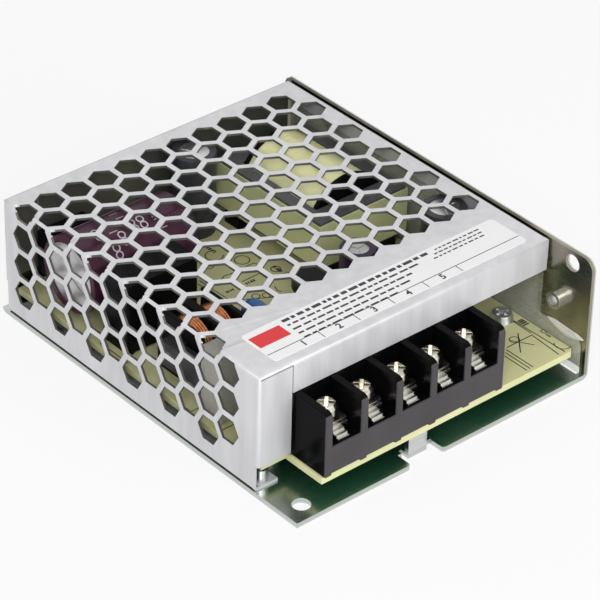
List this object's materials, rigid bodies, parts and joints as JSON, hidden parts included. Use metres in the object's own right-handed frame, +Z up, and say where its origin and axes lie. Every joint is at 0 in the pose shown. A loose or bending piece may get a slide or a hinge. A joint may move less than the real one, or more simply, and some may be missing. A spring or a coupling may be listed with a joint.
{
  "type": "mesh case switching power supply",
  "caption": "Enclosed switching power supply in a folded metal case with a hexagon mesh cover, an open screw terminal strip, and its circuit board and parts visible inside.",
  "frame": {"origin": "centre of the bounding box's bottom face, on the underside of the base plate", "axes": "+Z up, out of the mesh top; -Y towards the terminal side; +X towards the plain side wall, on the right seen from the terminals"},
  "size_m": [0.082, 0.099, 0.03],
  "materials": {
    "chassis": "mill-finish sheet, satin",
    "mesh_cover": "mill-finish sheet, satin with soft streaks",
    "rating_label": "white printed label",
    "circuit_board": "pale yellow laminate with black print",
    "insulating_film": "thin clear film",
    "terminal_block": "black moulded plastic",
    "adjuster_body": "blue moulded plastic",
    "adjuster_rotor": "white moulded plastic",
    "indicator_lamp": "green clear resin",
    "bulk_can": "plain can end",
    "bulk_sleeve": "dark maroon shrink sleeve",
    "bulk_seal": "black rubber",
    "bulk_leads": "tinned wire",
    "output_can": "plain can end",
    "output_sleeve": "dark grey shrink sleeve",
    "rear_can": "plain can end",
    "rear_sleeve": "dark grey shrink sleeve",
    "small_can": "plain can end",
    "small_sleeve": "dark purple shrink sleeve",
    "x_capacitor": "black moulded box",
    "box_capacitor": "pale grey moulded box",
    "disc_capacitor": "blue dipped resin",
    "thermistor": "dark green dipped resin",
    "fuse": "brown moulded body",
    "bridge_rectifier": "black moulded body",
    "choke_core": "black ferrite",
    "choke_bobbin": "black moulded plastic",
    "choke_winding_1": "enamelled copper wire",
    "choke_winding_2": "enamelled copper wire",
    "core_front": "grey ferrite",
    "core_rear": "grey ferrite",
    "core_tape": "yellow polyester tape",
    "transformer_bobbin": "black moulded plastic",
    "transformer_winding": "enamelled copper wire",
    "winding_tape": "pale yellow polyester tape",
    "output_inductor": "ferrite drum in black shrink tube",
    "optocoupler": "black moulded body",
    "board_screws": "zinc plated",
    "cover_screws": "zinc plated",
    "contact_plate": "tinned",
    "clamp_washer": "nickel plated",
    "terminal_screw": "nickel plated"
  },
  "bodies": {
    "case": {"chassis": "chassis", "mesh_cover": "mesh_cover", "rating_label": "rating_label", "circuit_board": "circuit_board", "insulating_film": "insulating_film", "terminal_block": "terminal_block", "adjuster_body": "adjuster_body", "indicator_lamp": "indicator_lamp", "bulk_can": "bulk_can", "bulk_sleeve": "bulk_sleeve", "bulk_seal": "bulk_seal", "bulk_leads": "bulk_leads", "output_can": "output_can", "output_sleeve": "output_sleeve", "rear_can": "rear_can", "rear_sleeve": "rear_sleeve", "small_can": "small_can", "small_sleeve": "small_sleeve", "x_capacitor": "x_capacitor", "box_capacitor": "box_capacitor", "disc_capacitor": "disc_capacitor", "thermistor": "thermistor", "fuse": "fuse", "bridge_rectifier": "bridge_rectifier", "choke_core": "choke_core", "choke_bobbin": "choke_bobbin", "choke_winding_1": "choke_winding_1", "choke_winding_2": "choke_winding_2", "core_front": "core_front", "core_rear": "core_rear", "core_tape": "core_tape", "transformer_bobbin": "transformer_bobbin", "transformer_winding": "transformer_winding", "winding_tape": "winding_tape", "output_inductor": "output_inductor", "optocoupler": "optocoupler", "board_screws": "board_screws", "cover_screws": "cover_screws", "contact_plate_1": "contact_plate", "contact_plate_2": "contact_plate", "contact_plate_3": "contact_plate", "contact_plate_4": "contact_plate", "contact_plate_5": "contact_plate"},
    "washer_1": {"clamp_washer_1": "clamp_washer"},
    "screw_1": {"terminal_screw_1": "terminal_screw"},
    "washer_2": {"clamp_washer_2": "clamp_washer"},
    "screw_2": {"terminal_screw_2": "terminal_screw"},
    "washer_3": {"clamp_washer_3": "clamp_washer"},
    "screw_3": {"terminal_screw_3": "terminal_screw"},
    "washer_4": {"clamp_washer_4": "clamp_washer"},
    "screw_4": {"terminal_screw_4": "terminal_screw"},
    "washer_5": {"clamp_washer_5": "clamp_washer"},
    "screw_5": {"terminal_screw_5": "terminal_screw"},
    "rotor": {"adjuster_rotor": "adjuster_rotor"}
  },
  "joints": [
    {"name": "clamp_lift_1", "type": "slide", "parent": "case", "child": "washer_1", "axis": [0, 0, 1], "range_m": [0, 0.002]},
    {"name": "screw_turn_1", "type": "hinge", "parent": "washer_1", "child": "screw_1", "pos_m": [-0.02602, -0.0404, 0.0163], "axis": [0, 0, 1], "range_deg": [0, 1440]},
    {"name": "clamp_lift_2", "type": "slide", "parent": "case", "child": "washer_2", "axis": [0, 0, 1], "range_m": [0, 0.002]},
    {"name": "screw_turn_2", "type": "hinge", "parent": "washer_2", "child": "screw_2", "pos_m": [-0.01653, -0.0404, 0.0163], "axis": [0, 0, 1], "range_deg": [0, 1440]},
    {"name": "clamp_lift_3", "type": "slide", "parent": "case", "child": "washer_3", "axis": [0, 0, 1], "range_m": [0, 0.002]},
    {"name": "screw_turn_3", "type": "hinge", "parent": "washer_3", "child": "screw_3", "pos_m": [-0.00702, -0.0404, 0.0163], "axis": [0, 0, 1], "range_deg": [0, 1440]},
    {"name": "clamp_lift_4", "type": "slide", "parent": "case", "child": "washer_4", "axis": [0, 0, 1], "range_m": [0, 0.002]},
    {"name": "screw_turn_4", "type": "hinge", "parent": "washer_4", "child": "screw_4", "pos_m": [0.00248, -0.0404, 0.0163], "axis": [0, 0, 1], "range_deg": [0, 1440]},
    {"name": "clamp_lift_5", "type": "slide", "parent": "case", "child": "washer_5", "axis": [0, 0, 1], "range_m": [0, 0.002]},
    {"name": "screw_turn_5", "type": "hinge", "parent": "washer_5", "child": "screw_5", "pos_m": [0.01197, -0.0404, 0.0163], "axis": [0, 0, 1], "range_deg": [0, 1440]},
    {"name": "adjuster_turn", "type": "hinge", "parent": "case", "child": "rotor", "pos_m": [0.0209, -0.0335, 0.0102], "axis": [0, -1, 0], "range_deg": [-135, 135]}
  ],
  "couplings": [
    {"joint": "screw_turn_1", "follows": "clamp_lift_1", "rad_per_m": 12566},
    {"joint": "screw_turn_2", "follows": "clamp_lift_2", "rad_per_m": 12566},
    {"joint": "screw_turn_3", "follows": "clamp_lift_3", "rad_per_m": 12566},
    {"joint": "screw_turn_4", "follows": "clamp_lift_4", "rad_per_m": 12566},
    {"joint": "screw_turn_5", "follows": "clamp_lift_5", "rad_per_m": 12566}
  ]
}
